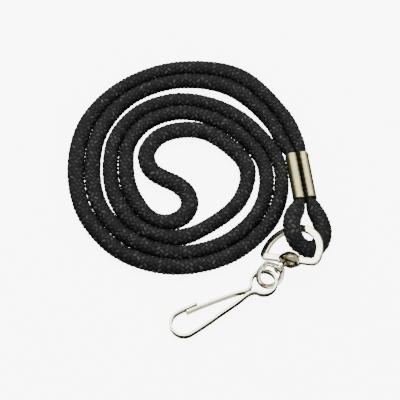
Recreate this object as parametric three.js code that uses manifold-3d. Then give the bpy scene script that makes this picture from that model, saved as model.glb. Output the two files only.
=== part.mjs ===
// A neck lanyard: one braided cord, coiled flat, with a crimp, a D-ring, a ball swivel and a J-hook.
// Millimetres, +Z up. The origin is under the middle of the whole lanyard, on the surface it lies on.
import * as THREE from "three";
import { mergeVertices } from "three/addons/utils/BufferGeometryUtils.js";
import Module from "manifold-3d";

const wasm = await Module();
wasm.setup();

// ---------- driving dimensions ----------

// Cord: a soft braid, a little flattened where it lies on the surface.
const CORD_HALF_WIDTH = 2.4;
const CORD_HALF_HEIGHT = 2.6;
const CORD_SIDES = 8;
const PIECE_GAP = 0.3;

// Coil: radii of the cord's centreline at every 30 degrees round the coil's centre.
const COIL_CENTRE = [-7.5, 10.5];
const COIL_STEP = 30;
const OUTER_START = [43.2, 11.8];
const OUTER_RADII = [
  44.5, 45.5, 42.5, 40, 38.5, 37, 38, 39.5, 40, 40, 39.5, 37,
  32, 29.5, 28.5, 27.5, 26, 24.5, 25.5, 28, 28.5, 26, 26, 25,
  20, 17.5, 15.5, 14.5, 13,
];
const INNER_START = [38.2, 10.4];
const INNER_RADII = [
  39, 38, 36.5, 34.5, 32.5, 31, 32, 33.5, 34.5, 34.5, 34, 31.5,
  26.5, 24, 23, 22, 20.5, 19, 20, 22.5,
];
// The S-bend that joins the two strands in the middle, from the coil's centre.
const S_BEND = [
  [-11.3, 2.5], [-9.3, -1.6], [-5, -4.6], [-0.4, -7], [3.2, -10.6],
  [4.3, -15.2], [2.4, -19.6], [-2, -22.2], [-7, -21.8],
];

// Crimp: a strip rolled into two side-by-side channels round the two runs of cord.
const CRIMP_CENTRE = [36.9, 6.1];
const CRIMP_LENGTH = 18.5;
const CRIMP_TURN = 7.9;
const CRIMP_SHEET = 0.6;
const CHANNEL_OFFSET = 2.05;
const CHANNEL_HEIGHT = 2.9;
const CHANNEL_CORD_HALF_WIDTH = 0.92;
const CHANNEL_CORD_HALF_HEIGHT = 1.85;
const CRIMPED_LEAD_TOP = 7;
const CRIMPED_LEAD_BOTTOM = 3.5;

// Small loop of cord below the crimp, from the crimp's centre, with heights above the surface.
const SMALL_LOOP = [
  [-2.6, -13.4, 4.6], [-4.4, -17.8, 6.9], [-4.6, -22, 8.1], [-3.5, -26, 7.6],
  [-1.4, -28.7, 6.1], [1.6, -29.6, 4.8], [4.5, -28.7, 4.2], [6.4, -26, 4.1],
  [7.1, -22, 4.0], [6.7, -17.8, 3.6], [5.3, -13.4, 3.1],
];

// D-ring: a flat stamped ring with a round socket in the middle of its bar.
const D_HALF_WIDTH = 11.85;
const D_STRIP = 2.5;
const D_THICKNESS = 1.2;
const D_ARCH_CENTRE = 2.4;
const D_CORNER = 1.8;
const D_BAR_HALF = 1.25;
const D_BAR_OFFSET = [-0.4, 0.85];
const D_YAW = -21.5;
const D_ROLL = 26.5;
const SOCKET_OUTER = 3.3;
const SOCKET_INNER = 2.4;
const SOCKET_MOUTH_ANGLE = 58;
const BALL_CENTRE = [31.6, -29, 6.1];

// Ball pin: a ball in the socket, with a shank that carries the swivel ring.
const BALL_RADIUS = 2.1;
const SHANK_RADIUS = 0.6;
const PIN_HEAD_START = 5.4;
const PIN_HEAD_RADIUS = 1.25;
const PIN_HEAD_HEIGHT = 0.75;
const SWIVEL_YAW = -147;
const SWIVEL_ROLL = 52;
const SWIVEL_PITCH = 12;

// Swivel ring: a round wire ring with a bored boss for the shank.
const RING_DISTANCE = 8.2;
const RING_RADIUS = 4.4;
const RING_WIRE = 0.75;
const BOSS_RADIUS = 1.6;
const BOSS_START = 3.6;
const BOSS_LENGTH = 1.5;
const BOSS_BORE = 0.9;

// J-hook: one flat strip on edge, with a closed eye, a bowed end and a springy gate.
const HOOK_NECK = [18.5, -39.5, 1.75];
const HOOK_YAW = -152.4;
const HOOK_PITCH = 3.3;
const STRIP_THICKNESS = 0.85;
const STRIP_HEIGHT = 2.8;
const EYE_CENTRE = [-5.4, -1.2];
const EYE_RADIUS = 4.4;
const BOW_CENTRE = [25.9, -1];
const ARM_MIDDLE = [12.8, 1.95];
const BOW_RADIUS = 4.65;
const TIP_END = [18.7, -5.3];
const NECK_FRONT = [0.4, 0.05];
const GATE_START = [0.75, -1.25];
const GATE_MIDDLE = [12, -3.2];
const GATE_END = [23.4, -4.25];

// ---------- materials ----------

function metal(colour, roughness) {
  return new THREE.MeshStandardMaterial({ color: colour, roughness, metalness: 1 });
}

const cordMaterial = new THREE.MeshStandardMaterial({ color: 0x1b1b1c, roughness: 0.8, metalness: 0 });
const crimpMaterial = metal(0xd8d2bb, 0.35);
const nickelMaterial = metal(0xcfccc0, 0.2);
const swivelMaterial = metal(0xb3ad97, 0.25);

// ---------- helpers ----------

const degrees = THREE.MathUtils.degToRad;

function toManifold(geometry) {
  const bare = geometry.index ? geometry.toNonIndexed() : geometry.clone();
  bare.deleteAttribute("normal");
  bare.deleteAttribute("uv");
  const merged = mergeVertices(bare, 1e-4);
  return new wasm.Manifold(new wasm.Mesh({
    numProp: 3,
    vertProperties: new Float32Array(merged.attributes.position.array),
    triVerts: new Uint32Array(merged.index.array),
  }));
}

function toGeometry(manifold) {
  const mesh = manifold.getMesh();
  const geometry = new THREE.BufferGeometry();
  geometry.setAttribute("position", new THREE.BufferAttribute(new Float32Array(mesh.vertProperties), 3));
  geometry.setIndex(new THREE.BufferAttribute(new Uint32Array(mesh.triVerts), 1));
  geometry.computeVertexNormals();
  return geometry;
}

function named(name, geometry, material) {
  const mesh = new THREE.Mesh(geometry, material);
  mesh.name = name;
  return mesh;
}

// The closed outline of a strip of even thickness along a flat line of points.
function stripShape(points, thickness) {
  const left = [];
  const right = [];
  for (let i = 0; i < points.length; i += 1) {
    const before = points[Math.max(i - 1, 0)];
    const after = points[Math.min(i + 1, points.length - 1)];
    const tangent = after.clone().sub(before).normalize();
    const side = new THREE.Vector2(-tangent.y, tangent.x).multiplyScalar(thickness / 2);
    left.push(points[i].clone().add(side));
    right.unshift(points[i].clone().sub(side));
  }
  return new THREE.Shape([...left, ...right]);
}

// ---------- cord ----------

function onCoil(radius, angle) {
  return new THREE.Vector3(
    COIL_CENTRE[0] + radius * Math.cos(degrees(angle)),
    COIL_CENTRE[1] + radius * Math.sin(degrees(angle)),
    CORD_HALF_HEIGHT,
  );
}

function strand(start, radii) {
  const first = new THREE.Vector3(COIL_CENTRE[0] + start[0], COIL_CENTRE[1] + start[1], CORD_HALF_HEIGHT);
  return [first, ...radii.map((radius, i) => onCoil(radius, (i + 1) * COIL_STEP))];
}

// A point in the crimp: side is -1 for the inner channel and 1 for the outer one, along is up the crimp.
function inChannel(side, along) {
  const turn = degrees(CRIMP_TURN);
  const across = side * CHANNEL_OFFSET;
  return new THREE.Vector3(
    CRIMP_CENTRE[0] + across * Math.cos(turn) - along * Math.sin(turn),
    CRIMP_CENTRE[1] + across * Math.sin(turn) + along * Math.cos(turn),
    CHANNEL_HEIGHT,
  );
}

function cordRoute() {
  const half = CRIMP_LENGTH / 2;
  const bend = S_BEND.map(([x, y]) =>
    new THREE.Vector3(COIL_CENTRE[0] + x, COIL_CENTRE[1] + y, CORD_HALF_HEIGHT));
  const loop = SMALL_LOOP.map(([x, y, z]) =>
    new THREE.Vector3(CRIMP_CENTRE[0] + x, CRIMP_CENTRE[1] + y, z));
  return [
    inChannel(1, 0), inChannel(1, half),
    ...strand(OUTER_START, OUTER_RADII),
    ...bend,
    ...strand(INNER_START, INNER_RADII).reverse(),
    inChannel(-1, half), inChannel(-1, 0), inChannel(-1, -half),
    ...loop,
    inChannel(1, -half), inChannel(1, 0),
  ];
}

const cordCurve = new THREE.CatmullRomCurve3(cordRoute());
cordCurve.arcLengthDivisions = 4000;
const cordLength = cordCurve.getLength();

// The distance along the cord at which it comes nearest to a point.
function stationOf(point, from, to) {
  let best = from;
  let nearest = Infinity;
  for (let along = from; along <= to; along += 0.1) {
    const distance = cordCurve.getPointAt(along / cordLength).distanceTo(point);
    if (distance < nearest) {
      nearest = distance;
      best = along;
    }
  }
  return best;
}

const halfCrimp = CRIMP_LENGTH / 2;
const neckStart = stationOf(inChannel(1, halfCrimp), 0, 50) + CRIMPED_LEAD_TOP;
const neckEnd = stationOf(inChannel(-1, halfCrimp), cordLength - 150, cordLength - 50) - CRIMPED_LEAD_TOP;
const loopStart = stationOf(inChannel(-1, -halfCrimp), cordLength - 120, cordLength - 30) + CRIMPED_LEAD_BOTTOM;
const loopEnd = stationOf(inChannel(1, -halfCrimp), cordLength - 40, cordLength) - CRIMPED_LEAD_BOTTOM;

// Half width and half height of the cord: squeezed in the crimp, and easing out to full size past its mouths.
function cordSection(outside, lead) {
  const ease = THREE.MathUtils.smoothstep(outside, 0.4, lead);
  return [
    THREE.MathUtils.lerp(CHANNEL_CORD_HALF_WIDTH, CORD_HALF_WIDTH, ease),
    THREE.MathUtils.lerp(CHANNEL_CORD_HALF_HEIGHT, CORD_HALF_HEIGHT, ease),
  ];
}

// A length of cord from one station to another. A station below zero is counted back from the cord's end.
function cordPiece(name, start, end, steps, sectionAt) {
  const apothem = 1 / Math.cos(Math.PI / CORD_SIDES);
  const corners = [];
  for (let i = 0; i < CORD_SIDES; i += 1) {
    const angle = ((i + 0.5) / CORD_SIDES) * 2 * Math.PI;
    corners.push(new THREE.Vector2(apothem * Math.cos(angle), apothem * Math.sin(angle)));
  }
  const options = { depth: 1, steps, bevelEnabled: false };
  const geometry = new THREE.ExtrudeGeometry(new THREE.Shape(corners), options);
  const position = geometry.attributes.position;
  const up = new THREE.Vector3(0, 0, 1);
  for (let i = 0; i < position.count; i += 1) {
    const along = THREE.MathUtils.lerp(start, end, position.getZ(i));
    const wrapped = ((along + cordLength) % cordLength) / cordLength;
    const centre = cordCurve.getPointAt(wrapped);
    const tangent = cordCurve.getTangentAt(wrapped);
    const side = new THREE.Vector3().crossVectors(tangent, up).normalize();
    const top = new THREE.Vector3().crossVectors(side, tangent);
    const [halfWidth, halfHeight] = sectionAt(along);
    centre.addScaledVector(side, -position.getX(i) * halfWidth);
    centre.addScaledVector(top, position.getY(i) * halfHeight);
    position.setXYZ(i, centre.x, centre.y, centre.z);
  }
  geometry.computeVertexNormals();
  return named(name, geometry, cordMaterial);
}

function cordPieces() {
  const full = () => [CORD_HALF_WIDTH, CORD_HALF_HEIGHT];
  const outerRun = (along) => cordSection(
    Math.max(along - (neckStart - CRIMPED_LEAD_TOP), loopEnd + CRIMPED_LEAD_BOTTOM - cordLength - along),
    along > 0 ? CRIMPED_LEAD_TOP : CRIMPED_LEAD_BOTTOM,
  );
  const innerMiddle = (neckEnd + loopStart) / 2;
  const innerRun = (along) => cordSection(
    Math.max(neckEnd + CRIMPED_LEAD_TOP - along, along - (loopStart - CRIMPED_LEAD_BOTTOM)),
    along < innerMiddle ? CRIMPED_LEAD_TOP : CRIMPED_LEAD_BOTTOM,
  );
  const gap = PIECE_GAP;
  return [
    cordPiece("neck_cord", neckStart + gap, neckEnd - gap, 78, full),
    cordPiece("crimped_cord_inner", neckEnd, loopStart, 10, innerRun),
    cordPiece("loop_cord", loopStart + gap, loopEnd - gap, 12, full),
    cordPiece("crimped_cord_outer", loopEnd - cordLength, neckStart, 10, outerRun),
  ];
}

// ---------- crimp ----------

function crimp() {
  const half = new THREE.SplineCurve([
    new THREE.Vector2(-0.52, 2.0), new THREE.Vector2(-0.55, 3.4), new THREE.Vector2(-0.95, 4.9),
    new THREE.Vector2(-2.1, 5.5), new THREE.Vector2(-3.25, 4.9), new THREE.Vector2(-3.75, 3.4),
    new THREE.Vector2(-3.7, 1.8), new THREE.Vector2(-3.1, 0.6), new THREE.Vector2(-2, 0.32),
    new THREE.Vector2(0, 0.32),
  ]);
  const left = half.getSpacedPoints(26);
  const right = left.slice(0, -1).reverse().map((p) => new THREE.Vector2(-p.x, p.y));
  const shape = stripShape([...left, ...right], CRIMP_SHEET);
  const geometry = new THREE.ExtrudeGeometry(shape, { depth: CRIMP_LENGTH, steps: 1, bevelEnabled: false });
  geometry.translate(0, 0, -CRIMP_LENGTH / 2);
  geometry.rotateX(Math.PI / 2);
  const mesh = named("crimp", geometry, crimpMaterial);
  mesh.position.set(CRIMP_CENTRE[0], CRIMP_CENTRE[1], 0);
  mesh.rotation.z = degrees(CRIMP_TURN);
  return mesh;
}

// ---------- D-ring ----------

// The D's outline, with its bar along X and its arch towards +Y, drawn a given distance inside the outer edge.
function dOutline(path, inset) {
  const width = D_HALF_WIDTH - inset;
  const bottom = -D_BAR_HALF + inset;
  const corner = Math.max(D_CORNER - inset, 0.5);
  path.moveTo(-width + corner, bottom);
  path.lineTo(width - corner, bottom);
  path.absarc(width - corner, bottom + corner, corner, -Math.PI / 2, 0, false);
  path.absarc(0, D_ARCH_CENTRE, width, 0, Math.PI, false);
  path.absarc(-width + corner, bottom + corner, corner, Math.PI, 1.5 * Math.PI, false);
  return path;
}

function dRing() {
  const shape = dOutline(new THREE.Shape(), 0);
  shape.holes.push(dOutline(new THREE.Path(), D_STRIP));
  const options = { depth: D_THICKNESS, bevelEnabled: false, curveSegments: 14 };
  const strip = new THREE.ExtrudeGeometry(shape, options).translate(...D_BAR_OFFSET, -D_THICKNESS / 2);
  const socket = new THREE.SphereGeometry(SOCKET_OUTER, 24, 16);
  const hollow = new THREE.SphereGeometry(SOCKET_INNER, 24, 16);
  const mouthDepth = 4;
  const mouthRadius = mouthDepth * Math.tan(degrees(SOCKET_MOUTH_ANGLE));
  const mouth = new THREE.ConeGeometry(mouthRadius, mouthDepth, 24).translate(0, -mouthDepth / 2, 0);
  const solid = toManifold(strip)
    .add(toManifold(socket))
    .subtract(toManifold(hollow))
    .subtract(toManifold(mouth).intersect(toManifold(new THREE.SphereGeometry(SOCKET_OUTER + 1, 24, 16))));
  const mesh = named("d_ring", toGeometry(solid), nickelMaterial);
  mesh.rotation.order = "ZYX";
  mesh.rotation.set(0, -degrees(D_ROLL), degrees(D_YAW));
  return mesh;
}

// ---------- ball pin and swivel ring, both along +X from the ball's centre ----------

function ballPin() {
  const neckAngle = Math.asin(SHANK_RADIUS / BALL_RADIUS);
  const profile = [];
  for (let i = 0; i <= 10; i += 1) {
    const angle = THREE.MathUtils.lerp(Math.PI, neckAngle, i / 10);
    profile.push(new THREE.Vector2(BALL_RADIUS * Math.sin(angle), BALL_RADIUS * Math.cos(angle)));
  }
  profile[0].x = 0;
  profile.push(new THREE.Vector2(SHANK_RADIUS, PIN_HEAD_START));
  profile.push(new THREE.Vector2(PIN_HEAD_RADIUS, PIN_HEAD_START));
  for (let i = 1; i <= 4; i += 1) {
    const angle = (i / 4) * (Math.PI / 2);
    profile.push(new THREE.Vector2(
      i === 4 ? 0 : PIN_HEAD_RADIUS * Math.cos(angle),
      PIN_HEAD_START + 0.1 + (PIN_HEAD_HEIGHT - 0.1) * Math.sin(angle),
    ));
  }
  const geometry = new THREE.LatheGeometry(profile, 16).rotateZ(-Math.PI / 2);
  return named("ball_pin", geometry, swivelMaterial);
}

function swivelRing() {
  const wire = new THREE.TorusGeometry(RING_RADIUS, RING_WIRE, 8, 32).translate(RING_DISTANCE, 0, 0);
  const boss = new THREE.CylinderGeometry(BOSS_RADIUS, BOSS_RADIUS, BOSS_LENGTH, 20)
    .rotateZ(Math.PI / 2)
    .translate(BOSS_START + BOSS_LENGTH / 2, 0, 0);
  const bore = new THREE.CylinderGeometry(BOSS_BORE, BOSS_BORE, 2 * BOSS_LENGTH, 16)
    .rotateZ(Math.PI / 2)
    .translate(BOSS_START + BOSS_LENGTH / 2, 0, 0);
  const solid = toManifold(wire).add(toManifold(boss)).subtract(toManifold(bore));
  return named("swivel_ring", toGeometry(solid), swivelMaterial);
}

function swivel() {
  const group = new THREE.Group();
  group.rotation.order = "ZYX";
  group.rotation.set(-degrees(SWIVEL_ROLL), degrees(SWIVEL_PITCH), degrees(SWIVEL_YAW));
  group.add(ballPin(), swivelRing());
  return group;
}

// ---------- J-hook, laid along +X from its neck ----------

function extrudedStrip(name, points) {
  const shape = stripShape(points, STRIP_THICKNESS);
  const options = { depth: STRIP_HEIGHT, steps: 1, bevelEnabled: false };
  return named(name, new THREE.ExtrudeGeometry(shape, options), nickelMaterial);
}

function arcPoints(centre, radius, from, to, count) {
  const points = [];
  for (let i = 0; i <= count; i += 1) {
    const angle = degrees(THREE.MathUtils.lerp(from, to, i / count));
    points.push(new THREE.Vector2(centre[0] + radius * Math.cos(angle), centre[1] + radius * Math.sin(angle)));
  }
  return points;
}

function hook() {
  const points = [
    new THREE.Vector2(...TIP_END),
    ...arcPoints(BOW_CENTRE, BOW_RADIUS, -90, 98.5, 16),
    new THREE.Vector2(...ARM_MIDDLE),
    new THREE.Vector2(...NECK_FRONT),
    ...arcPoints(EYE_CENTRE, EYE_RADIUS, 28, 335, 24),
    new THREE.Vector2(-0.6, -1.95),
    new THREE.Vector2(0.42, -1.2),
  ];
  return extrudedStrip("hook", points);
}

function gate() {
  const ends = [GATE_START, GATE_MIDDLE, GATE_END].map(([x, y]) => new THREE.Vector2(x, y));
  return extrudedStrip("hook_gate", new THREE.SplineCurve(ends).getPoints(8));
}

function jHook() {
  const group = new THREE.Group();
  group.position.set(...HOOK_NECK);
  group.rotation.order = "ZYX";
  group.rotation.set(0, degrees(HOOK_PITCH), degrees(HOOK_YAW));
  group.add(hook(), gate());
  return group;
}

// ---------- the lanyard ----------

const hardware = new THREE.Group();
hardware.position.set(...BALL_CENTRE);
hardware.add(dRing(), swivel());

const lanyard = new THREE.Group();
lanyard.add(...cordPieces(), crimp(), hardware, jHook());

export default lanyard;
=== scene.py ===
"""A neck lanyard: braided cord, crimp, D-ring, ball swivel and springy J-hook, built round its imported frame."""
import math

import bpy
import numpy as np
from mathutils import Matrix, Vector


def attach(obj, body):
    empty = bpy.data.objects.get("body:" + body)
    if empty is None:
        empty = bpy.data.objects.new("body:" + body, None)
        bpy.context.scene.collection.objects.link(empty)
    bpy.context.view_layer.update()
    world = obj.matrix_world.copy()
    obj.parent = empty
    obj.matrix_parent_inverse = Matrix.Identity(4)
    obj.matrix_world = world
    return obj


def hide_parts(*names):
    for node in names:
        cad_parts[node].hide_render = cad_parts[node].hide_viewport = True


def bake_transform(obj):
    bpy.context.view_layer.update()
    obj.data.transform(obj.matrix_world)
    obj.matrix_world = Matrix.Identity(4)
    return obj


MM = 0.001
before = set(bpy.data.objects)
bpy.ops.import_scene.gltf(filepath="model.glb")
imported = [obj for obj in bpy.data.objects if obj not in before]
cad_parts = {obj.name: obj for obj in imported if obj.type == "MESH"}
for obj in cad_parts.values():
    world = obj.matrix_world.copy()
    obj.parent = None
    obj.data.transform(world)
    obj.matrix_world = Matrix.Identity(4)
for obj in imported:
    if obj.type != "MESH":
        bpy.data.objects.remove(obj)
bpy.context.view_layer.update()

# ---------- camera ----------

VIEW_ELEVATION = math.radians(62)
VIEW_DISTANCE = 0.56
VIEW_TARGET = Vector((0.0005, -0.0015, 0))
LENS_MM = 140
SENSOR_MM = 36


def make_camera():
    data = bpy.data.cameras.new("camera")
    data.lens = LENS_MM
    data.sensor_width = SENSOR_MM
    data.clip_start = 0.01
    data.clip_end = 20
    camera = bpy.data.objects.new("camera", data)
    bpy.context.scene.collection.objects.link(camera)
    back = Vector((0, -math.cos(VIEW_ELEVATION), math.sin(VIEW_ELEVATION)))
    camera.location = VIEW_TARGET + VIEW_DISTANCE * back
    camera.rotation_euler = (math.pi / 2 - VIEW_ELEVATION, 0, 0)
    bpy.context.scene.camera = camera


make_camera()

# ---------- route of the cord, in millimetres, close to the CAD part's ----------

COIL_CENTRE = (-7.5, 10.5)
COIL_STEP = 30
CORD_HEIGHT = 2.6
OUTER_START = (43.2, 11.8)
OUTER_RADII = (
    44.4, 45.1, 42.3, 40, 38.5, 37, 38, 39.5, 40, 40, 39.5, 37,
    32, 29.5, 28.5, 27.5, 26, 24.5, 25.5, 27.95, 28.5, 26, 26, 25,
    20, 17.5, 15.5, 14.5, 13,
)
INNER_START = (38.2, 10.4)
INNER_RADII = (
    39, 38.9, 36.7, 34.5, 32.5, 31, 32, 33.5, 34.5, 34.5, 34, 31.5,
    26.5, 24, 23, 22, 20.5, 18.75, 19.55, 22.2,
)
S_BEND = (
    (-11.3, 2.5), (-9.3, -1.6), (-5, -4.6), (-0.4, -7), (3.2, -10.6),
    (4.3, -15.2), (2.4, -19.6), (-2, -22.2), (-7, -21.8),
)
CRIMP_CENTRE = (36.9, 6.1)
CRIMP_LENGTH = 18.5
CRIMP_TURN = math.radians(7.9)
CHANNEL_OFFSET = 2.05
CHANNEL_HEIGHT = 2.9
SMALL_LOOP = (
    (-1.9, -13.4, 4.6), (-3.6, -17.8, 6.9), (-4.2, -22, 8.1), (-3.5, -26, 7.6),
    (-1.4, -28.7, 6.1), (1.6, -29.6, 4.8), (4.5, -28.7, 4.2), (6.4, -26, 4.1),
    (7.1, -22, 4.0), (6.2, -17.8, 3.6), (4.5, -13.4, 3.1),
)
ROUTE_POINTS_PER_SPAN = 60


def strand(start, radii):
    points = [(COIL_CENTRE[0] + start[0], COIL_CENTRE[1] + start[1], CORD_HEIGHT)]
    for i, radius in enumerate(radii):
        angle = math.radians((i + 1) * COIL_STEP)
        x = COIL_CENTRE[0] + radius * math.cos(angle)
        y = COIL_CENTRE[1] + radius * math.sin(angle)
        points.append((x, y, CORD_HEIGHT))
    return points


def in_channel(side, along):
    across = side * CHANNEL_OFFSET
    cos, sin = math.cos(CRIMP_TURN), math.sin(CRIMP_TURN)
    x = CRIMP_CENTRE[0] + across * cos - along * sin
    y = CRIMP_CENTRE[1] + across * sin + along * cos
    return (x, y, CHANNEL_HEIGHT)


def cord_route():
    half = CRIMP_LENGTH / 2
    bend = [(COIL_CENTRE[0] + x, COIL_CENTRE[1] + y, CORD_HEIGHT) for x, y in S_BEND]
    loop = [(CRIMP_CENTRE[0] + x, CRIMP_CENTRE[1] + y, z) for x, y, z in SMALL_LOOP]
    return (
        [in_channel(1, 0), in_channel(1, half)]
        + strand(OUTER_START, OUTER_RADII)
        + bend
        + strand(INNER_START, INNER_RADII)[::-1]
        + [in_channel(-1, half), in_channel(-1, 0), in_channel(-1, -half)]
        + loop
        + [in_channel(1, -half), in_channel(1, 0)]
    )


def smooth_line(points, per_span):
    """A centripetal Catmull-Rom line through the points."""
    p = np.array(points, float)
    p = np.vstack([2 * p[0] - p[1], p, 2 * p[-1] - p[-2]])
    out = []
    for a, b, c, d in zip(p[:-3], p[1:-2], p[2:-1], p[3:]):
        t1 = max(np.linalg.norm(b - a), 1e-9) ** 0.5
        t2 = t1 + max(np.linalg.norm(c - b), 1e-9) ** 0.5
        t3 = t2 + max(np.linalg.norm(d - c), 1e-9) ** 0.5
        t = np.linspace(t1, t2, per_span, endpoint=False)[:, None]
        a1 = (t1 - t) / t1 * a + t / t1 * b
        a2 = (t2 - t) / (t2 - t1) * b + (t - t1) / (t2 - t1) * c
        a3 = (t3 - t) / (t3 - t2) * c + (t - t2) / (t3 - t2) * d
        b1 = (t2 - t) / t2 * a1 + t / t2 * a2
        b2 = (t3 - t) / (t3 - t1) * a2 + (t - t1) / (t3 - t1) * a3
        out.append((t2 - t) / (t2 - t1) * b1 + (t - t1) / (t2 - t1) * b2)
    out.append(p[-2][None])
    return np.vstack(out)


def stations(line):
    return np.concatenate([[0], np.cumsum(np.linalg.norm(np.diff(line, axis=0), axis=1))])


def respaced(line, step):
    along = stations(line)
    count = int(round(along[-1] / step))
    where = np.linspace(0, along[-1], count + 1)
    return np.column_stack([np.interp(where, along, line[:, k]) for k in range(3)]), where


def smoothstep(x, low, high):
    t = np.clip((x - low) / (high - low), 0, 1)
    return t * t * (3 - 2 * t)


# ---------- mesh helpers ----------

TABLE_GAP = 0.02


def new_mesh(name, vertices, faces, smooth=True, scale=MM):
    mesh = bpy.data.meshes.new(name)
    points = np.asarray(vertices, dtype=np.float64) * scale
    mesh.from_pydata(points.tolist(), [], [list(f) for f in faces])
    mesh.update()
    mesh.validate()
    for polygon in mesh.polygons:
        polygon.use_smooth = smooth
    obj = bpy.data.objects.new(name, mesh)
    bpy.context.scene.collection.objects.link(obj)
    return obj


def grid_faces(rings, around, closed_rings=False):
    i = np.arange(rings if closed_rings else rings - 1)
    j = np.arange(around)
    ii, jj = np.meshgrid(i, j, indexing="ij")
    next_i = (ii + 1) % rings
    next_j = (jj + 1) % around
    quads = [
        ii * around + jj, ii * around + next_j,
        next_i * around + next_j, next_i * around + jj,
    ]
    return np.stack(quads, axis=-1).reshape(-1, 4).tolist()


def cap(start, around, flip):
    ring = list(range(start, start + around))
    return ring[::-1] if flip else ring


# ---------- the braided cord ----------

CARRIERS = 10
PICK_LENGTH = 1.55
PICK_RELIEF = 0.6
YARN_TIGHTNESS = 1.9
YARN_END_HEIGHT = 0.25
YARN_UNEVENNESS = 0.16
RING_STEP = 0.3
RING_SIDES = 60
CORD_HALF_HEIGHT = 2.45
# Half width of the cord at stations along it, both in millimetres.
CORD_WIDTHS = (
    (0, 2.5), (30, 2.5), (60, 2.55), (250, 2.6), (300, 2.35), (350, 2.35), (430, 2.6),
    (455, 2.9), (500, 3.0), (560, 2.9), (600, 2.6), (640, 2.5), (680, 2.45), (825, 2.5),
    (838, 3.1), (860, 3.15), (880, 2.9), (895, 2.95), (912, 2.95), (925, 2.5),
)
FULLNESS = 0.08
# Where two runs lie this close, middle to middle, each is pressed or filled out until they touch.
TOUCH_REACH = 6.35
TOUCH_FADE = 0.5
TOUCH_MARGIN = 0.14
NARROWEST, WIDEST = 2.1, 3.05
SAME_RUN = 14
NOTHING_NEAR = 99
NEIGHBOUR_STRIDE = 4
WIDTH_SMOOTHING = 33
CHANNEL_HALF_WIDTH = 1.68
CHANNEL_HALF_HEIGHT = 1.95
CHANNEL_SHIFT = 0.3
CHANNEL_REACH = 6
GRIP_INSET = 0.8
EASE_ABOVE, EASE_BELOW = 4.5, 3.4
RELIEF_IN_CRIMP = 0.45
# Slow unevenness of the cord: its share, its wavelength over two pi, and its turns round the cord.
LUMPS = ((0.012, 9.7, 0), (0.009, 4.1, 2))


def scatter(i, j):
    """An even spread of values from 0 to 1, one for each pair of whole numbers."""
    return np.mod(np.sin(i * 12.9898 + j * 78.233) * 43758.5453, 1)


def braid_height(around, along):
    """Height from 0 to 1 of a two-over-two braid, with the place across and along the yarn on top and its tone."""
    u = around / (2 * np.pi) * CARRIERS
    w = along / PICK_LENGTH
    a, b = u + w, u - w
    i, j = np.floor(a), np.floor(b)
    first = np.mod(i - j, 4) < 2
    across = np.where(first, a - i, b - j) - 0.5
    length_first = np.mod(b - (i - 1), 4) / 2
    length_second = np.mod(a - (j + 2), 4) / 2
    length = np.clip(np.where(first, length_first, length_second), 0, 1)
    round_across = np.sqrt(np.clip(1 - (YARN_TIGHTNESS * across) ** 2, 0, 1))
    round_along = np.sqrt(np.clip(np.sin(np.pi * length), 0, 1))
    yarn = np.where(first, np.mod(i, CARRIERS), np.mod(j, CARRIERS) + 2 * CARRIERS)
    pick = np.where(first, np.floor((b - i + 1) / 4), np.floor((a - j - 2) / 4))
    tone = scatter(yarn, pick)
    height = round_across * (YARN_END_HEIGHT + (1 - YARN_END_HEIGHT) * round_along)
    height = height * (1 - YARN_UNEVENNESS + YARN_UNEVENNESS * tone)
    return height, across, length, tone


def cord_frame(line):
    tangent = np.gradient(line, axis=0)
    tangent /= np.linalg.norm(tangent, axis=1)[:, None]
    side = np.cross(tangent, (0, 0, 1))
    side /= np.linalg.norm(side, axis=1)[:, None]
    return side, np.cross(side, tangent)


def neighbour_distance(line, where):
    """Distance, seen from above, from each station to the nearest other run of the cord."""
    nearest = np.full(len(line), float(NOTHING_NEAR))
    for k in range(0, len(line), NEIGHBOUR_STRIDE):
        gap = np.hypot(line[:, 0] - line[k, 0], line[:, 1] - line[k, 1])
        gap[np.abs(where - where[k]) < SAME_RUN] = NOTHING_NEAR
        nearest[k:k + NEIGHBOUR_STRIDE] = gap.min()
    return nearest


def cord_half_sizes(line, where):
    """Half width and height along the cord: its own, pressed to its neighbours, squeezed in the crimp."""
    widths = np.interp(where, *zip(*CORD_WIDTHS)) + FULLNESS
    apart = neighbour_distance(line, where)
    touching = np.clip(apart / 2 - TOUCH_MARGIN, NARROWEST, WIDEST)
    blend = 1 - smoothstep(apart, TOUCH_REACH, TOUCH_REACH + TOUCH_FADE)
    widths = np.where(touching < widths, touching, widths + (touching - widths) * blend)
    kernel = np.hanning(WIDTH_SMOOTHING)
    padded = np.pad(widths, WIDTH_SMOOTHING // 2, mode="edge")
    widths = np.convolve(padded, kernel / kernel.sum(), mode="valid")
    heights = np.full(len(where), CORD_HALF_HEIGHT)
    cos, sin = math.cos(CRIMP_TURN), math.sin(CRIMP_TURN)
    dx, dy = line[:, 0] - CRIMP_CENTRE[0], line[:, 1] - CRIMP_CENTRE[1]
    up_the_crimp = -dx * sin + dy * cos
    across = dx * cos + dy * sin
    near = np.abs(across) < CHANNEL_REACH
    half = CRIMP_LENGTH / 2
    above = smoothstep(up_the_crimp, half - GRIP_INSET, half + EASE_ABOVE)
    below = smoothstep(-up_the_crimp, half - GRIP_INSET, half + EASE_BELOW)
    free = np.where(near, np.maximum(above, below), 1)
    widths = CHANNEL_HALF_WIDTH + (widths - CHANNEL_HALF_WIDTH) * free
    heights = CHANNEL_HALF_HEIGHT + (heights - CHANNEL_HALF_HEIGHT) * free
    toward_seam = -np.sign(across) * CHANNEL_SHIFT * (1 - free) * near
    line = line + np.column_stack([toward_seam * cos, toward_seam * sin, np.zeros(len(line))])
    return line, widths, heights, free


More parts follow.
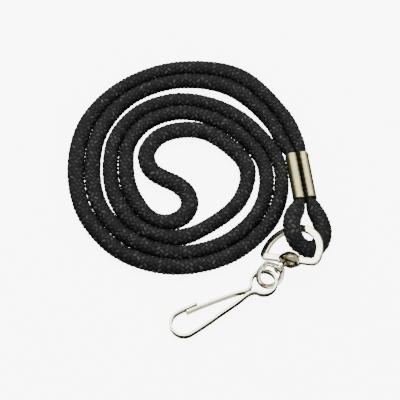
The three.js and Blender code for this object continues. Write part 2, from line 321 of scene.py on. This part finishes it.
def braided_cord():
    line, where = respaced(smooth_line(cord_route(), ROUTE_POINTS_PER_SPAN), RING_STEP)
    line, widths, heights, free = cord_half_sizes(line, where)
    side, top = cord_frame(line)
    angle = np.arange(RING_SIDES) / RING_SIDES * 2 * np.pi
    around, along = np.meshgrid(angle, where)
    height, across, length, tone = braid_height(around, along)
    uneven = 1
    for share, wavelength, turns in LUMPS:
        uneven = uneven + share * np.sin(along / wavelength + turns * around)
    relief = (height - 0.5) * PICK_RELIEF * (RELIEF_IN_CRIMP + (1 - RELIEF_IN_CRIMP) * free[:, None])
    x = (widths[:, None] * uneven + relief) * np.cos(around)
    z = (heights[:, None] * uneven + relief) * np.sin(around)
    points = line[:, None] + x[..., None] * side[:, None] + z[..., None] * top[:, None]
    points[..., 2] = np.maximum(points[..., 2], TABLE_GAP)
    rings = len(where)
    faces = grid_faces(rings, RING_SIDES)
    faces += [cap(0, RING_SIDES, False), cap((rings - 1) * RING_SIDES, RING_SIDES, True)]
    cord = new_mesh("braided_cord", points.reshape(-1, 3), faces)
    yarn = np.stack([across, length, tone], axis=-1).reshape(-1, 3)
    attribute = cord.data.attributes.new("yarn", "FLOAT_VECTOR", "POINT")
    attribute.data.foreach_set("vector", yarn.astype(np.float32).ravel())
    crown = cord.data.attributes.new("crown", "FLOAT", "POINT")
    crown.data.foreach_set("value", height.astype(np.float32).ravel())
    return cord, line


cord, cord_line = braided_cord()
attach(cord, "lanyard")
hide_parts("neck_cord", "crimped_cord_inner", "loop_cord", "crimped_cord_outer")

# ---------- materials ----------


def material(name):
    made = bpy.data.materials.new(name)
    made.use_nodes = True
    return made, made.node_tree, made.node_tree.nodes["Principled BSDF"]


def node(tree, kind, **values):
    made = tree.nodes.new(kind)
    for key, value in values.items():
        if key in made.inputs:
            made.inputs[key].default_value = value
        else:
            setattr(made, key, value)
    return made


def object_coordinates(tree):
    return node(tree, "ShaderNodeTexCoord").outputs["Object"]


def noise(tree, vector, scale, detail):
    made = node(tree, "ShaderNodeTexNoise", Scale=scale, Detail=detail)
    tree.links.new(vector, made.inputs["Vector"])
    return made.outputs["Fac"]


def ramp(tree, source, stops):
    made = tree.nodes.new("ShaderNodeValToRGB")
    elements = made.color_ramp.elements
    while len(elements) < len(stops):
        elements.new(0.5)
    for element, (position, colour) in zip(elements, stops):
        element.position = position
        element.color = (*colour, 1)
    tree.links.new(source, made.inputs["Fac"])
    return made.outputs["Color"]


def multiplied(tree, first, second):
    made = node(tree, "ShaderNodeMix", data_type="RGBA", blend_type="MULTIPLY")
    made.inputs["Factor"].default_value = 1
    tree.links.new(first, made.inputs[6])
    tree.links.new(second, made.inputs[7])
    return made.outputs[2]


def remapped(tree, source, low, high, start=0.0, end=1.0):
    made = node(tree, "ShaderNodeMapRange")
    made.inputs["From Min"].default_value = start
    made.inputs["From Max"].default_value = end
    made.inputs["To Min"].default_value = low
    made.inputs["To Max"].default_value = high
    tree.links.new(source, made.inputs["Value"])
    return made.outputs["Result"]


def bumped(tree, height, strength, distance, under=None):
    made = node(tree, "ShaderNodeBump", Strength=strength, Distance=distance)
    tree.links.new(height, made.inputs["Height"])
    if under is not None:
        tree.links.new(under, made.inputs["Normal"])
    return made.outputs["Normal"]


FIBRES_ACROSS_YARN = 44
FIBRE_CLOUD = dict(scale=900, detail=3)
# Painted shade: the yarns' colour goes near black where the braid is low, between the yarns.
YARN_SHADE_BY_HEIGHT = [
    (0.3, (0.0003, 0.0003, 0.0003)), (0.62, (0.0035, 0.0035, 0.0034)), (0.97, (0.026, 0.026, 0.0255)),
]
YARN_BY_TONE = [(0.0, (0.3, 0.3, 0.3)), (0.7, (1.1, 1.1, 1.08)), (1.0, (2.1, 2.1, 2.05))]
YARN_MOTTLE = [(0.3, (0.55, 0.55, 0.55)), (0.72, (1.5, 1.5, 1.52))]


def cord_material():
    """Black nylon yarns, with painted shade that makes them near black between them and paler on their crowns; each
    with its own tone and fine fibres.
    """
    made, tree, shader = material("nylon_braid")
    link = tree.links.new
    yarn = node(tree, "ShaderNodeAttribute", attribute_name="yarn")
    crown = node(tree, "ShaderNodeAttribute", attribute_name="crown")
    parts = node(tree, "ShaderNodeSeparateXYZ")
    link(yarn.outputs["Vector"], parts.inputs["Vector"])
    fibres = node(tree, "ShaderNodeMath", operation="MULTIPLY")
    fibres.inputs[1].default_value = FIBRES_ACROSS_YARN
    link(parts.outputs["X"], fibres.inputs[0])
    lines = node(tree, "ShaderNodeMath", operation="SINE")
    link(fibres.outputs[0], lines.inputs[0])
    cloud = noise(tree, object_coordinates(tree), **FIBRE_CLOUD)
    # Painted shade between the yarns, read from the braid's height.
    painted_valley_shade = ramp(tree, crown.outputs["Fac"], YARN_SHADE_BY_HEIGHT)
    by_tone = ramp(tree, parts.outputs["Z"], YARN_BY_TONE)
    mottle = ramp(tree, cloud, YARN_MOTTLE)
    link(multiplied(tree, multiplied(tree, painted_valley_shade, by_tone), mottle), shader.inputs["Base Color"])
    link(remapped(tree, cloud, 0.42, 0.62), shader.inputs["Roughness"])
    fibre_bump = bumped(tree, lines.outputs[0], 0.35, 0.00006)
    link(bumped(tree, cloud, 0.3, 0.0001, fibre_bump), shader.inputs["Normal"])
    shader.inputs["Specular IOR Level"].default_value = 0.17
    shader.inputs["Sheen Weight"].default_value = 0.01
    shader.inputs["Sheen Roughness"].default_value = 0.4
    return made


CLOUD = dict(scale=420, detail=4)
SCRATCH_STRETCH = (1, 9, 3)
SCRATCH_TURN = (0.3, 0.2, 0.7)
SCRATCH_DETAIL = 5
SMOOTH_WAVES, HAMMERED_WAVES = 0.00012, 0.0004


def metal_material(name, colour, dark, roughness, scratch_scale=900, hammered=0.0, wave_scale=260):
    """Polished plating: faint cloudiness in colour, fine scratches in gloss and surface, and a slight waviness."""
    made, tree, shader = material(name)
    link = tree.links.new
    shader.inputs["Metallic"].default_value = 1
    position = object_coordinates(tree)
    cloud = noise(tree, position, **CLOUD)
    link(ramp(tree, cloud, [(0.35, dark), (0.62, colour)]), shader.inputs["Base Color"])
    stretched = node(tree, "ShaderNodeMapping", Scale=SCRATCH_STRETCH, Rotation=SCRATCH_TURN)
    link(position, stretched.inputs["Vector"])
    scratches = noise(tree, stretched.outputs["Vector"], scratch_scale, SCRATCH_DETAIL)
    gloss = remapped(tree, scratches, roughness * 0.7, roughness * 1.5, start=0.3, end=0.7)
    link(gloss, shader.inputs["Roughness"])
    scratch_bump = bumped(tree, scratches, 0.12, 0.00003)
    wave = noise(tree, position, wave_scale, detail=1)
    wave_depth = SMOOTH_WAVES + HAMMERED_WAVES * hammered
    link(bumped(tree, wave, 0.25 + hammered, wave_depth, scratch_bump), shader.inputs["Normal"])
    return made


cord.data.materials.append(cord_material())
nickel = metal_material("bright_nickel", (0.86, 0.82, 0.66), (0.74, 0.70, 0.53), 0.1)
swivel_metal = metal_material(
    "swivel_nickel", (0.46, 0.43, 0.27), (0.12, 0.11, 0.05), 0.14, hammered=1.0, wave_scale=520,
)
cast_metal = metal_material("cast_nickel", (0.78, 0.74, 0.56), (0.55, 0.51, 0.34), 0.12, hammered=0.9)
ring_metal = metal_material(
    "ring_nickel", (0.80, 0.76, 0.62), (0.36, 0.33, 0.20), 0.12, hammered=0.7, wave_scale=330,
)
crimp_metal = metal_material("crimp_plate", (0.43, 0.39, 0.20), (0.35, 0.32, 0.15), 0.32, scratch_scale=700)


def place(obj, rotation, location):
    """Turns and moves a piece's mesh, and leaves its object at the origin."""
    turn = rotation.to_matrix().to_4x4()
    turn.translation = Vector(location) * MM
    obj.data.transform(turn)
    obj.data.update()


def euler_zyx(x, y, z):
    spin = Matrix.Rotation(z, 3, "Z") @ Matrix.Rotation(y, 3, "Y") @ Matrix.Rotation(x, 3, "X")
    return spin.to_euler()


def finished(obj, body, slot, look, *nodes):
    obj.data.materials.append(look)
    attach(obj, body)
    if nodes:
        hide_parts(*nodes)
    return obj


# ---------- crimp ----------

CRIMP_SHEET = 0.6
# Half of the sheet's middle line seen along the crimp, from its seam on top to the middle underneath.
CRIMP_HALF_PROFILE = (
    (-1.05, 4.35), (-0.95, 4.75), (-1.03, 5.2), (-1.3, 5.42), (-2.0, 5.47), (-2.75, 5.38),
    (-3.2, 5.0), (-3.9, 3.4), (-3.85, 1.8), (-3.2, 0.7), (-2, 0.32), (0, 0.32),
)
CRIMP_POINTS_PER_SPAN = 7
CRIMP_RINGS = 75
SEAM_OFFSET = 0.3
SEAM_LOW, SEAM_HIGH, SEAM_SPREAD = 3.6, 4.6, 3.2
TOOTH_PITCH = 2.1
TOOTH_DEPTH = 0.75
TOOTH_POINTS = 17
END_THICKNESS, END_ROUNDING = 0.55, 0.25
FLARE, FLARE_LENGTH = 0.10, 0.9


def saw(x):
    return 2 * np.abs(x / TOOTH_PITCH - np.floor(x / TOOTH_PITCH + 0.5))


def crimp_middle():
    half = smooth_line([(x, z, 0) for x, z in CRIMP_HALF_PROFILE], CRIMP_POINTS_PER_SPAN)[:, :2]
    middle = np.vstack([half, (half[:-1] * (-1, 1))[::-1]])
    above = smoothstep(middle[:, 1], SEAM_LOW, SEAM_HIGH)
    middle[:, 0] += SEAM_OFFSET * above * np.clip(1 - np.abs(middle[:, 0]) / SEAM_SPREAD, 0, 1)
    return middle


def crimp_sleeve():
    middle = crimp_middle()
    tangent = np.gradient(middle, axis=0)
    tangent /= np.linalg.norm(tangent, axis=1)[:, None]
    normal = np.column_stack([-tangent[:, 1], tangent[:, 0]])
    count = len(middle)
    index = np.arange(count)
    from_edge = np.minimum(index, count - 1 - index)
    curl = np.clip(1 - from_edge / TOOTH_POINTS, 0, 1)[:, None]
    phase = np.where(index < count / 2, 0, TOOTH_PITCH / 2)[:, None]
    rings = []
    for y in np.linspace(-CRIMP_LENGTH / 2, CRIMP_LENGTH / 2, CRIMP_RINGS):
        end = CRIMP_LENGTH / 2 - abs(y)
        rounding = END_THICKNESS + (1 - END_THICKNESS) * min(1, end / END_ROUNDING)
        thick = CRIMP_SHEET / 2 * rounding
        flare = FLARE * max(0, 1 - end / FLARE_LENGTH)
        centre = middle.copy()
        centre[:, :1] += (saw(y + phase) - 0.5) * TOOTH_DEPTH * curl
        outer = centre - normal * (thick + flare)
        inner = centre + normal * (thick - flare)
        ring = np.vstack([outer, inner[::-1]])
        rings.append(np.column_stack([ring[:, 0], np.full(len(ring), y), ring[:, 1]]))
    around = len(rings[0])
    points = np.vstack(rings)
    points[:, 2] = np.maximum(points[:, 2], TABLE_GAP)
    faces = grid_faces(CRIMP_RINGS, around)
    for start, flip in ((0, False), ((CRIMP_RINGS - 1) * around, True)):
        for k in range(count - 1):
            quad = [start + k, start + k + 1, start + around - 2 - k, start + around - 1 - k]
            faces.append(quad if flip else quad[::-1])
    obj = new_mesh("crimp_sleeve", points, faces)
    place(obj, euler_zyx(0, 0, CRIMP_TURN), (*CRIMP_CENTRE, 0))
    return obj


finished(crimp_sleeve(), "lanyard", "crimp", crimp_metal, "crimp")

# ---------- D-ring ----------

BALL_CENTRE = (31.6, -29, 6.1)
D_HALF_WIDTH = 11.85
D_STRIP = 2.5
D_THICKNESS = 1.2
D_FULLNESS = 0.1
D_BEVEL = 0.42
D_ARCH_CENTRE = 2.4
D_CORNER = 1.8
D_CORNER_EASE = 0.9
D_BAR_HALF = 1.25
D_BAR_OFFSET = (-0.4, 0.85)
D_BAR_POINTS, D_CORNER_POINTS, D_ARCH_POINTS = 30, 8, 90
D_TURN = euler_zyx(0, -math.radians(26.5), math.radians(-21.5))
COLLAR_RADIUS = 3.75
COLLAR_START, COLLAR_END, COLLAR_POINTS = -12, 192, 49
COLLAR_HALF_WIDTH, COLLAR_HALF_HEIGHT, COLLAR_BEVEL = 0.5, 0.66, 0.2
SOCKET_OUTER = 3.5
SOCKET_INNER = 2.4
SOCKET_MOUTH = math.radians(56)
SOCKET_LIP = 2.62
SOCKET_SIDES, SOCKET_STEPS = 64, 32
SWAGE_ANGLE = 0.75
LIP_STEPS = 6
LIP_ROLL = 0.09
AXIS_GAP = 0.05
POD_STRETCH = 0.24
# Where the cup's stretch starts and is full, along the cup's axis from the mouth backwards.
POD_STRETCH_START, POD_STRETCH_FULL = -1.2, 0.6
CORNER_POINTS = 6
FLAT_MARGIN = 0.03


def rounded_bar(half_width, half_height, bevel):
    """The outline of a strip's section, anticlockwise: rounded corners, with a point just inside each flat."""
    points = []
    for quarter, (sx, sy) in enumerate(((1, 1), (-1, 1), (-1, -1), (1, -1))):
        corner = []
        for k in range(CORNER_POINTS):
            angle = (quarter + k / (CORNER_POINTS - 1)) * math.pi / 2
            x = sx * (half_width - bevel) + bevel * math.cos(angle)
            y = sy * (half_height - bevel) + bevel * math.sin(angle)
            corner.append((x, y))
        (ax, ay), (bx, by) = corner[0], corner[-1]
        if quarter % 2 == 0:
            before, after = (ax, ay - sy * FLAT_MARGIN), (bx - sx * FLAT_MARGIN, by)
        else:
            before, after = (ax - sx * FLAT_MARGIN, ay), (bx, by - sy * FLAT_MARGIN)
        points += [before, *corner, after]
    return np.array(points)


def arc(centre, radius, start, end, count):
    angle = np.radians(np.linspace(start, end, count))
    return np.column_stack([centre[0] + radius * np.cos(angle), centre[1] + radius * np.sin(angle)])


def d_line():
    inset = D_STRIP / 2
    width = D_HALF_WIDTH - inset
    bottom = -D_BAR_HALF + inset
    corner = D_CORNER - inset + D_CORNER_EASE
    flat = np.linspace(-width + corner, width - corner, D_BAR_POINTS)
    parts = [
        np.column_stack([flat, np.full(D_BAR_POINTS, bottom)]),
        arc((width - corner, bottom + corner), corner, -90, 0, D_CORNER_POINTS)[1:],
        arc((0, D_ARCH_CENTRE), width, 0, 180, D_ARCH_POINTS),
        arc((-width + corner, bottom + corner), corner, 180, 270, D_CORNER_POINTS)[:-1],
    ]
    return np.vstack(parts) + D_BAR_OFFSET


def flat_sweep(name, line, section, closed):
    """Sweeps a section along a flat line: the section's x lies across the line, and its y is the local Z."""
    if closed:
        tangent = np.roll(line, -1, axis=0) - np.roll(line, 1, axis=0)
    else:
        tangent = np.gradient(line, axis=0)
    tangent /= np.linalg.norm(tangent, axis=1)[:, None]
    across = np.column_stack([tangent[:, 1], -tangent[:, 0]])
    rings, count = len(line), len(section)
    points = np.zeros((rings, count, 3))
    points[..., :2] = line[:, None] + section[:, :1] * across[:, None]
    points[..., 2] = section[:, 1]
    faces = [f[::-1] for f in grid_faces(rings, count, closed)]
    if not closed:
        faces += [cap(0, count, False), cap((rings - 1) * count, count, True)]
    return new_mesh(name, points.reshape(-1, 3), faces)


def lathe(name, profile, count, axis):
    """Turns an (along, radius) profile round an axis of the piece's own space."""
    angle = np.arange(count) / count * 2 * np.pi
    points = [(along, radius * math.cos(t), radius * math.sin(t)) for along, radius in profile for t in angle]
    faces = grid_faces(len(profile), count)
    faces += [cap(0, count, False), cap((len(profile) - 1) * count, count, True)]
    obj = new_mesh(name, points, faces)
    spin = Vector((1, 0, 0)).rotation_difference(Vector(axis))
    obj.data.transform(spin.to_matrix().to_4x4())
    return obj


def polar(radius, angle):
    return (radius * math.cos(angle), radius * math.sin(angle))


def socket_profile():
    """The cup's wall from its outer back round the lip and back inside, as (along, radius) pairs."""
    outer, inner = [], []
    for k in range(SOCKET_STEPS + 1):
        angle = math.pi - (math.pi - SOCKET_MOUTH) * k / SOCKET_STEPS
        swaged = float(smoothstep(angle, SOCKET_MOUTH, SOCKET_MOUTH + SWAGE_ANGLE))
        outer.append(polar(SOCKET_LIP + (SOCKET_OUTER - SOCKET_LIP) * swaged, angle))
        inner.append(polar(SOCKET_INNER, angle))
    lip = []
    centre = (SOCKET_LIP + SOCKET_INNER) / 2
    half = (SOCKET_LIP - SOCKET_INNER) / 2
    for k in range(1, LIP_STEPS):
        turn = math.pi * k / LIP_STEPS
        radius = centre + half * math.cos(turn)
        lip.append(polar(radius, SOCKET_MOUTH - LIP_ROLL * math.sin(turn) / radius))
    outer[0] = (outer[0][0], AXIS_GAP)
    inner[0] = (inner[0][0], AXIS_GAP)
    return outer + lip + inner[::-1]


def d_ring():
    section = rounded_bar(D_STRIP / 2 + D_FULLNESS, D_THICKNESS / 2 + D_FULLNESS, D_BEVEL)
    return flat_sweep("d_ring_bar", d_line(), section, True)


def socket_collar():
    line = arc((0, 0), COLLAR_RADIUS, COLLAR_START, COLLAR_END, COLLAR_POINTS)
    section = rounded_bar(COLLAR_HALF_WIDTH, COLLAR_HALF_HEIGHT, COLLAR_BEVEL)
    return flat_sweep("socket_collar", line, section, False)


def socket_cup():
    """The cup, widened sideways behind its mouth into a pod."""
    cup = lathe("socket_cup", socket_profile(), SOCKET_SIDES, (0, -1, 0))
    for vertex in cup.data.vertices:
        behind_mouth = float(smoothstep(vertex.co.y / MM, POD_STRETCH_START, POD_STRETCH_FULL))
        vertex.co.x *= 1 + POD_STRETCH * behind_mouth
    return cup


for piece, look, nodes in (
    (d_ring(), nickel, ("d_ring",)),
    (socket_collar(), cast_metal, ()),
    (socket_cup(), swivel_metal, ()),
):
    place(piece, D_TURN, BALL_CENTRE)
    finished(piece, "d_ring", "nickel", look, *nodes)

# ---------- ball pin and swivel ring, along +X from the ball ----------

BALL_RADIUS = 2.1
BALL_STEPS = 24
SHANK_RADIUS = 0.6
SHANK_MIDDLE = 3.3
PIN_SIDES = 40
PIN_TIP_RADIUS = 0.03
PIN_HEAD_START = 5.4
PIN_HEAD_RADIUS = 1.25
PIN_HEAD_HEIGHT = 0.75
PIN_HEAD_EDGE = 0.1
PIN_HEAD_STEPS = 8
SWIVEL_TURN = euler_zyx(-math.radians(52), math.radians(12), math.radians(-147))
RING_DISTANCE = 8.2
RING_RADIUS = 4.4
RING_WIRE = 0.75
RING_POINTS = 120
RING_FULLNESS = 0.08
RING_BEVEL = 0.7
LOOP_SQUARENESS = 0.8
LOOP_INSET = 0.16
LOOP_BAR_ANGLE = math.radians(212)
# Between which cosines of the angle from the bar's middle the inset and the squared corners fade in.
INSET_FADE = (0.1, 0.75)
CORNER_FADE = (-0.3, 0.5)
BOSS_RADIUS = 1.6
BOSS_BORE = 0.9
BOSS_BEVEL = 0.18
BOSS_START = 3.6
BOSS_LENGTH = 1.5


def ball_pin():
    neck = math.asin(SHANK_RADIUS / BALL_RADIUS)
    profile = []
    for k in range(BALL_STEPS + 1):
        along, radius = polar(BALL_RADIUS, math.pi - (math.pi - neck) * k / BALL_STEPS)
        profile.append((along, max(radius, PIN_TIP_RADIUS)))
    profile += [
        (SHANK_MIDDLE, SHANK_RADIUS), (PIN_HEAD_START, SHANK_RADIUS),
        (PIN_HEAD_START, PIN_HEAD_RADIUS - PIN_HEAD_EDGE), (PIN_HEAD_START + PIN_HEAD_EDGE / 2, PIN_HEAD_RADIUS),
    ]
    for k in range(1, PIN_HEAD_STEPS + 1):
        angle = k / PIN_HEAD_STEPS * math.pi / 2
        along = PIN_HEAD_START + PIN_HEAD_EDGE + (PIN_HEAD_HEIGHT - PIN_HEAD_EDGE) * math.sin(angle)
        profile.append((along, max(PIN_HEAD_RADIUS * math.cos(angle), PIN_TIP_RADIUS)))
    return lathe("ball_stud", profile, PIN_SIDES, (1, 0, 0))


def loop_line():
    """The swivel ring's middle line: a circle whose side towards the ball is drawn out into a straighter bar."""
    angle = np.radians(np.linspace(0, 360, RING_POINTS + 1)[:-1])
    cos, sin = np.cos(angle - LOOP_BAR_ANGLE), np.sin(angle - LOOP_BAR_ANGLE)
    corner = np.maximum(np.abs(cos), np.abs(sin)) ** -LOOP_SQUARENESS - 1
    squared = 1 + corner * smoothstep(cos, *CORNER_FADE)
    inset = 1 - LOOP_INSET * smoothstep(cos, *INSET_FADE)
    radius = RING_RADIUS * squared * inset
    return np.column_stack([RING_DISTANCE + radius * np.cos(angle), radius * np.sin(angle)])


def swivel_loop():
    half = RING_WIRE + RING_FULLNESS
    return flat_sweep("swivel_loop", loop_line(), rounded_bar(half, half, RING_BEVEL), True)


def swivel_boss():
    end, edge = BOSS_START + BOSS_LENGTH, BOSS_RADIUS - BOSS_BEVEL
    profile = [
        (BOSS_START, BOSS_BORE), (BOSS_START, edge), (BOSS_START + BOSS_BEVEL, BOSS_RADIUS),
        (end - BOSS_BEVEL, BOSS_RADIUS), (end, edge), (end, BOSS_BORE), (BOSS_START, BOSS_BORE),
    ]
    return lathe("swivel_boss", profile, PIN_SIDES, (1, 0, 0))


for piece, body, look, nodes in (
    (ball_pin(), "ball_pin", swivel_metal, ("ball_pin",)),
    (swivel_loop(), "swivel_ring", ring_metal, ("swivel_ring",)),
    (swivel_boss(), "swivel_ring", ring_metal, ()),
):
    place(piece, SWIVEL_TURN, BALL_CENTRE)
    finished(piece, body, "swivel", look, *nodes)

# ---------- J-hook ----------

HOOK_NECK = (18.5, -39.5, 1.75)
HOOK_TURN = euler_zyx(0, math.radians(3.3), math.radians(-152.4))
STRIP_THICKNESS = 0.86
STRIP_HEIGHT = 2.8
STRIP_BEVEL = 0.16
STRIP_SPACING = 0.45
STRIP_POINTS_PER_SPAN = 24
EYE_CENTRE = (-5.4, -1.2)
EYE_RADIUS = 4.4
EYE_START, EYE_END, EYE_POINTS = 28, 335, 22
BOW_CENTRE = (25.9, -1)
BOW_RADIUS = 4.65
BOW_START, BOW_END, BOW_POINTS = -90, 98.5, 15
TIP_END = (18.7, -5.3)
ARM = ((18.5, 2.85), (12.8, 1.95), (6.5, 1.1), (0.4, 0.05))
NECK_BACK = ((-0.6, -1.95), (0.42, -1.2))
GATE = ((0.15, -1.32), (0.75, -1.25), (6, -2.35), (12, -3.2), (18, -3.85), (23.4, -4.25))


def strip(name, points):
    flat = smooth_line([(x, y, 0) for x, y in points], STRIP_POINTS_PER_SPAN)
    line, _ = respaced(flat, STRIP_SPACING)
    section = rounded_bar(STRIP_THICKNESS / 2, STRIP_HEIGHT / 2, STRIP_BEVEL) + (0, STRIP_HEIGHT / 2)
    return flat_sweep(name, line[:, :2], section, False)


def hook_points():
    bow = arc(BOW_CENTRE, BOW_RADIUS, BOW_START, BOW_END, BOW_POINTS)
    eye = arc(EYE_CENTRE, EYE_RADIUS, EYE_START, EYE_END, EYE_POINTS)
    return [TIP_END, *bow, *ARM, *eye, *NECK_BACK]


hook = strip("hook_strip", hook_points())
place(hook, HOOK_TURN, HOOK_NECK)
finished(hook, "hook", "nickel", nickel, "hook")

gate = strip("gate_strip", GATE)
place(gate, HOOK_TURN, HOOK_NECK)
gate.data.materials.append(nickel)


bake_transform(gate)
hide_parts("hook_gate")

# ---------- floor, lights and the cards that only reflections see ----------

FLOOR_HALF_SIZE = 3.0
FLOOR_GLOW = 7
TRAY_HALF_SIZE = 1.5
TRAY_HEIGHT = 0.00004
TRAY_STREAKS = dict(scale=160, detail=1)
TRAY_SHADES = [(0.44, (0.012, 0.012, 0.008)), (0.64, (0.09, 0.088, 0.06))]
CARD_HEIGHT = 0.0002
PALE, DARK = (0.85, 0.85, 0.8), (0.02, 0.019, 0.015)
# Outlines seen from above, in millimetres.
HOOK_CARD = (
    (17.4, -38.6), (6.4, -42.1), (-4.2, -46.4), (-8.5, -48.5), (-8, -52),
    (-4.5, -53.6), (-0.9, -51.3), (7.6, -45.7), (16.6, -39.4),
)
D_CARD = ((22, -31), (36, -32), (40, -24), (38, -12), (27, -14), (21, -23))
BAND_POINTS = 49


def flat_sheet(name, outline, height):
    points = [(x, y, height) for x, y in outline]
    obj = new_mesh(name, points, [list(range(len(points)))], smooth=False, scale=1)
    return obj


def square(size):
    return [(-size, -size), (size, -size), (size, size), (-size, size)]


def matt_material(name):
    made, tree, shader = material(name)
    shader.inputs["Roughness"].default_value = 1
    shader.inputs["Specular IOR Level"].default_value = 0
    return made, tree, shader


def card_material(name, colour):
    made, _, shader = matt_material(name)
    shader.inputs["Base Color"].default_value = (*colour, 1)
    return made


def only_in_reflections(obj):
    obj.visible_camera = False
    obj.visible_diffuse = False
    obj.visible_shadow = False


def white_floor():
    floor = flat_sheet("floor", square(FLOOR_HALF_SIZE), 0)
    look, _, shader = material("white_floor")
    shader.inputs["Base Color"].default_value = (0.9, 0.9, 0.9, 1)
    shader.inputs["Roughness"].default_value = 0.9
    shader.inputs["Specular IOR Level"].default_value = 0.1
    shader.inputs["Emission Color"].default_value = (1, 1, 1, 1)
    shader.inputs["Emission Strength"].default_value = FLOOR_GLOW
    floor.data.materials.append(look)
    floor.visible_diffuse = False
    floor.visible_glossy = False


def dark_tray():
    """What the metal sees of the table: a dark sheet, hidden from everything else."""
    tray = flat_sheet("dark_tray", square(TRAY_HALF_SIZE), TRAY_HEIGHT)
    look, tree, shader = matt_material("tray_card")
    streaks = noise(tree, object_coordinates(tree), **TRAY_STREAKS)
    tree.links.new(ramp(tree, streaks, TRAY_SHADES), shader.inputs["Base Color"])
    tray.data.materials.append(look)
    only_in_reflections(tray)


def pale_card(name, outline_mm):
    card = flat_sheet(name, [(x * MM, y * MM) for x, y in outline_mm], CARD_HEIGHT)
    card.data.materials.append(card_material(name, PALE))
    only_in_reflections(card)


def dark_band(name, centre, radius, start, end, height):
    """A dark upright band standing on the floor, part of a ring, that only the metal's reflections see."""
    line = arc(centre, radius, start, end, BAND_POINTS)
    points = [(x, y, 0) for x, y in line] + [(x, y, height) for x, y in line]
    faces = [(k, k + 1, BAND_POINTS + k + 1, BAND_POINTS + k) for k in range(BAND_POINTS - 1)]
    obj = new_mesh(name, points, faces, smooth=False, scale=1)
    obj.data.materials.append(card_material(name, DARK))
    only_in_reflections(obj)


def area_light(name, location, size, power):
    """A round light that faces the middle of the object."""
    data = bpy.data.lights.new(name, "AREA")
    data.shape = "DISK"
    data.size = size
    data.energy = power
    obj = bpy.data.objects.new(name, data)
    obj.location = location
    direction = Vector((0, 0, 0)) - Vector(location)
    obj.rotation_euler = direction.to_track_quat("-Z", "Y").to_euler()
    bpy.context.scene.collection.objects.link(obj)


def white_world(strength):
    world = bpy.data.worlds.new("studio")
    bpy.context.scene.world = world
    world.use_nodes = True
    background = world.node_tree.nodes["Background"]
    background.inputs["Color"].default_value = (1, 1, 1, 1)
    background.inputs["Strength"].default_value = strength


white_floor()
dark_tray()
pale_card("hook_card", HOOK_CARD)
pale_card("d_card", D_CARD)
dark_band("far_band", centre=(0, 0), radius=0.9, start=75, end=265, height=0.3)
dark_band(
    "coil_band", centre=tuple(c * MM for c in COIL_CENTRE), radius=0.0415, start=-42, end=-18, height=0.0085,
)
white_world(strength=1.0)
area_light("top_light", location=(0, 0.6, 1.1), size=1.2, power=16)
area_light("side_light", location=(-0.71, 0.84, 0.5), size=0.6, power=5.5)
area_light("front_light", location=(0.68, -0.97, 0.25), size=0.6, power=3.5)
